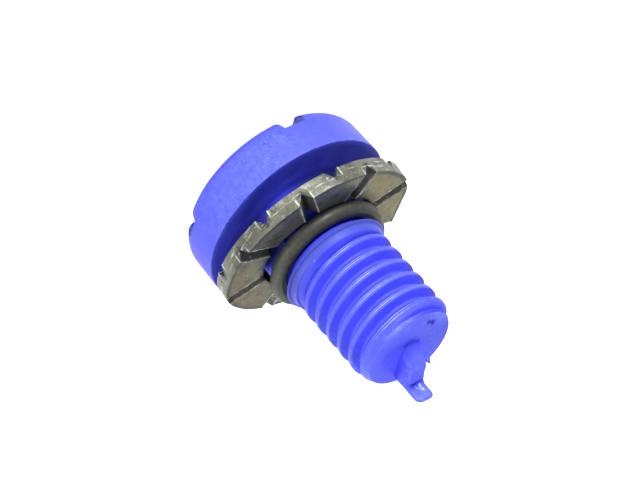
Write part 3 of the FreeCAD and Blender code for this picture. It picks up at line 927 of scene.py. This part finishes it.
# The notches' depths and shifts go round in turn, one of the upper face and one of the lower.
washer = {
    "outer": 11.65,
    "bore": 7.1,
    "half": 0.975,
    "corner": 0.09,
    "turn": 27.5,
    "tilt": -8.88,
    "centre": (0.0, -0.414, 8.862),
    "mouth": 0.88,
    "burr": 0.06,
    "burrWidth": 0.10,
    "bulges": [(213, 0.18, 0.13), (182, 0.23, -0.46), (25, 0.27, 0.24)],
    "depths": [1.05, 1.0, 1.1, 0.95, 1.0, 1.1, 1.05, 0.95, 1.1, 1.05, 1.02, 1.0, 1.08, 1.30, 1.04, 1.05],
    "shifts": [0.05, -0.05, 0, 0.08, -0.08, 0, 0.06, -0.04, 0, 0.05, 0.22, 0.1, -0.27, 0.05, -0.03, 0.1],
    "inside": [0, 0.10, 0.25, 0.45, 0.65, 0.85, 1.0],
    "outside": [0.03, 0.06, 0.10, 0.16, 0.24, 0.36, 0.52, 0.70, 0.86],
    "uneven": [(0.012, 9, 2), (0.01, 23, -3)],
    # Painted highlight over the worn notch edges, and painted shade inside the notches.
    "edgeWearAndGlint": (0, 0.09, 1.0),
    "notchShade": 0.66,
    "notchReach": 1.15,
    "notchShadeLine": (0.78, 0.10, 0.55),
    # Darker towards the outer rim of the upper face.
    "rimDarkening": (-0.20, 0.30, 0.80),
    # Streaks of painted highlight low on the rim, on one side.
    "rimHighlightHeight": 0.35,
    "rimHighlightLevel": 0.18,
    "rimHighlightSway": 0.22,
    "rimHighlightTurn": 300,
    "rimHighlightWidth": 0.6,
}


def washerSection():
    # Round the ring's section: radius, share of the height from the lower to the upper face, and
    # how far a rounded corner drops below its face.
    corner, outer, bore = washer["corner"], washer["outer"], washer["bore"]
    turn = np.radians(np.linspace(0, 90, 4))
    upper = [(bore + corner - corner * sin(a), 1, corner - corner * cos(a)) for a in turn[::-1]]
    upper += [(radius, 1, 0) for radius in np.linspace(bore + corner, outer - corner, 16)[1:]]
    upper += [(outer - corner + corner * sin(a), 1, corner - corner * cos(a)) for a in turn[1:]]
    lower = [(radius, 0, drop) for radius, _, drop in upper[::-1]]
    boreUp = [(bore, share, corner) for share in np.linspace(0, 1, 6)]
    wallDown = [(outer, share, corner) for share in np.linspace(1, 0, 6)]
    loop = np.array(boreUp + upper[1:] + wallDown[1:] + lower[1:])
    return loop[:, :1], loop[:, 1:2], loop[:, 2:]


def buildWasher():
    # Columns come in sectors, one round each notch of either face. A column's distance from the
    # notch's middle is fixed inside the V, and outside it runs evenly to the sector's edge, so
    # its angle is the sector's plus the arc sine of distance over radius.
    radius, share, drop = washerSection()
    outer, half, mouth = washer["outer"], washer["half"], washer["mouth"]
    sectors = len(washer["depths"])
    sectorHalf = pi / sectors
    widest = radius * sin(sectorHalf)
    inside = np.array(washer["inside"])[None, :] * mouth + 0 * radius
    outside = mouth + np.array(washer["outside"])[None, :] * (widest - mouth)
    away = np.concatenate([inside, outside], axis=1)
    away = np.concatenate([-away[:, :0:-1], away], axis=1)
    notchFar = np.clip((widest - np.abs(away)) / (widest - mouth), 0, 1)
    fromMouth = np.abs(away) - mouth
    # Painted shade inside each notch and along a line within it.
    linePlace, lineWidth, lineShade = washer["notchShadeLine"]
    paintedNotchShade = washer["notchShade"] * np.clip(washer["notchReach"] - np.abs(away) / mouth, 0, 1)
    paintedNotchShade = paintedNotchShade + lineShade * hump(np.abs(away) - linePlace * mouth, lineWidth)
    angles, depthTop, depthLow, marks = [], [], [], []
    for sector in range(sectors):
        onTop = sector % 2 == 0
        place = np.clip(away + washer["shifts"][sector] * notchFar, -widest, widest)
        angles.append(sector * 2 * sectorHalf + np.arcsin(place / radius))
        dig = washer["depths"][sector] * np.clip(1 - np.abs(away) / mouth, 0, None)
        sway = 0.7 + 0.5 * np.sin(5 * radius + 3 * sector)
        burr = washer["burr"] * hump(fromMouth, washer["burrWidth"]) * sway
        depthTop.append(dig - burr if onTop else 0 * dig)
        depthLow.append(0 * dig if onTop else dig - burr)
        onSide = (share > 0.5) if onTop else (share < 0.5)
        # Worn notch edges with a painted highlight on them, less the painted shade in the notch.
        marks.append((bells(fromMouth, [washer["edgeWearAndGlint"]]) - paintedNotchShade) * onSide)
    angle = np.concatenate(angles, axis=1)
    above = half - np.concatenate(depthTop, axis=1) - drop
    below = -half + np.concatenate(depthLow, axis=1) + drop
    height = below + (above - below) * share
    onFace = np.abs(2 * share - 1) == 1
    height = height + waves(washer["uneven"], angle, radius) * (2 * share - 1) * onFace
    # Darker towards the outer rim of the upper face.
    rimDarkening = bells(radius - outer, [washer["rimDarkening"]]) * (share == 1) * (drop == 0)
    mark = np.concatenate(marks, axis=1) - rimDarkening

    # The rim is a little out of round, and on one side its lower part has streaks of painted
    # highlight.
    turn, bore = washer["turn"], washer["bore"]
    bulges = [(place - turn, width, size) for place, width, size in washer["bulges"]]
    reach = radius + turnBells(angle, bulges) * (radius - bore) / (outer - bore)
    rimHighlight = washer["rimHighlightLevel"] + washer["rimHighlightSway"] * np.sin(31 * angle) * np.sin(13 * angle + 1)
    rimHighlight = rimHighlight * (radius == outer) * (share < washer["rimHighlightHeight"]) * (mark > -0.05)
    mark = mark + rimHighlight * hump(turnFrom(angle, washer["rimHighlightTurn"] - turn), washer["rimHighlightWidth"])

    # Closed both ways, turned and tilted into place.
    local = np.stack([reach * np.cos(angle), reach * np.sin(angle), height], axis=-1)
    local, mark = closed(local), closed(mark)
    local, mark = np.concatenate([local, local[:1]]), np.concatenate([mark, mark[:1]])
    tilted = Matrix.Rotation(radians(washer["tilt"]), 3, "X")
    place = tilted @ Matrix.Rotation(radians(turn), 3, "Z")
    points = local @ np.array(place).T + np.array(washer["centre"])
    return gridMesh("toothedWasher", points, washerSteel, sharpAngle=35, marks=mark)


toothedWasher = buildWasher()
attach(toothedWasher, "root")
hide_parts("toothed_washer")
print("washer made")

ring = {"radius": 6.43, "section": 0.9, "height": 11.45, "flash": 0.012, "flashWidth": 0.06}


def buildRing():
    # A torus with a barely raised moulding line round its outside.
    around = np.linspace(0, 2 * pi, 241)[None, :]
    across = np.linspace(0, 2 * pi, 49)[:, None]
    section = ring["section"] + ring["flash"] * hump(np.sin(across / 2), ring["flashWidth"])
    radius = ring["radius"] + section * np.cos(across) + 0 * around
    points = np.stack([radius * np.cos(around), radius * np.sin(around),
                       ring["height"] + section * np.sin(across) + 0 * around], axis=-1)
    return gridMesh("sealRing", points, sealRubber, sharpAngle=60)


sealRing = buildRing()
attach(sealRing, "root")
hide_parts("o_ring")
print("ring made")

stage = {"floorSize": 4.0, "colour": (0.93, 0.93, 0.93, 1), "roughness": 0.9, "glow": 0.9}


def seenDirectly(tree):
    # One for rays from the camera, a reflection or glass, and zero for light on its way.
    path = addNode(tree, "ShaderNodeLightPath").outputs
    seen = calculate(tree, "ADD", path["Is Camera Ray"], path["Is Glossy Ray"], True)
    return calculate(tree, "ADD", seen, path["Is Transmission Ray"], True)


def makeWhite():
    # Pale surface that shows white and still takes a shadow.
    material, tree, shader = startMaterial("floorWhite")
    shader.inputs["Base Color"].default_value = stage["colour"]
    shader.inputs["Roughness"].default_value = stage["roughness"]
    shader.inputs["Emission Color"].default_value = (1, 1, 1, 1)
    tree.links.new(multiply(tree, seenDirectly(tree), stage["glow"]), shader.inputs["Emission Strength"])
    return material


def buildFloor():
    half = stage["floorSize"] / 2
    mesh = bpy.data.meshes.new("floor")
    corners = [(-half, -half, 0), (half, -half, 0), (half, half, 0), (-half, half, 0)]
    mesh.from_pydata(corners, [], [(0, 1, 2, 3)])
    mesh.materials.append(makeWhite())
    return addObject("floor", mesh)


floor = buildFloor()

# Each lamp is given by name, turn, height, size and level.
lighting = {
    "worldLevel": 0.17,
    "aim": (0.0, 0.0, 0.012),
    "distance": 0.5,
    "lamps": [
        ("keyLamp", 268, 3.6, 0.07, 1.33),
        ("fillLamp", 358, 3.6, 0.07, 0.46),
        ("topLamp", 303, 88, 0.14, 0.10),
        ("sideLamp", 50, 24, 0.08, 0.34),
        ("backLamp", 118, 68, 0.10, 0.62),
    ],
}


def makeWorld(level):
    # White where it is seen directly, and otherwise a faint even light.
    world = bpy.data.worlds.new("studio")
    world.use_nodes = True
    tree = world.node_tree
    tree.nodes.clear()
    strength = spread(tree, seenDirectly(tree), 0.0, 1.0, level, 1.0)
    background = addNode(tree, "ShaderNodeBackground", {"Color": (1, 1, 1, 1), "Strength": strength})
    addNode(tree, "ShaderNodeOutputWorld", {"Surface": background.outputs[0]})
    bpy.context.scene.world = world


def addLamp(name, turn, height, size, level):
    # A round lamp that lights a matt surface facing it to the given level: its power is the
    # level times pi squared times the distance squared.
    turn, height, distance = radians(turn), radians(height), lighting["distance"]
    outward = cos(height)
    away = Vector((cos(turn) * outward, sin(turn) * outward, sin(height)))
    lamp = bpy.data.lights.new(name, "AREA")
    lamp.shape = "DISK"
    lamp.size = size
    lamp.energy = level * pi ** 2 * distance ** 2
    holder = addObject(name, lamp)
    holder.location = Vector(lighting["aim"]) + away * distance
    holder.rotation_mode = "QUATERNION"
    holder.rotation_quaternion = (-away).to_track_quat("-Z", "Y")


makeWorld(lighting["worldLevel"])
for lamp in lighting["lamps"]:
    addLamp(*lamp)
print("stage lit")

photoView = {
    "target": (0.0, 0.0, 0.015),
    "azimuth": 35.3,
    "elevation": 27.08,
    "roll": 139.05,
    "distance": 0.300,
    "lens": 156.13,
    "sensor": 36.0,
    "clip": (0.01, 20.0),
    "framePixels": (640, 480),
    "targetPixel": (345.93, 275.14),
}


def placeCamera(view):
    # The photograph shows the plug turned far over, so the camera is rolled about its line of
    # sight, and its shift puts the target on its pixel.
    azimuth, elevation, roll = (radians(view[key]) for key in ("azimuth", "elevation", "roll"))
    outward = cos(elevation)
    back = Vector((sin(azimuth) * outward, -cos(azimuth) * outward, sin(elevation)))
    level = Vector((cos(azimuth), sin(azimuth), 0))
    upright = back.cross(level)
    right = level * cos(roll) + upright * sin(roll)
    up = upright * cos(roll) - level * sin(roll)
    lens = bpy.data.cameras.new("photoCamera")
    lens.lens = view["lens"]
    lens.sensor_width = view["sensor"]
    wide, high = view["framePixels"]
    across, down = view["targetPixel"]
    lens.shift_x = (wide / 2 - across) / wide
    lens.shift_y = (down - high / 2) / wide
    lens.clip_start, lens.clip_end = view["clip"]
    camera = addObject("photoCamera", lens)
    camera.rotation_mode = "QUATERNION"
    camera.rotation_quaternion = Matrix((right, up, back)).transposed().to_quaternion()
    camera.location = Vector(view["target"]) + back * view["distance"]
    bpy.context.scene.camera = camera


placeCamera(photoView)
bpy.context.scene.view_settings.view_transform = "Standard"

print("scene ready")
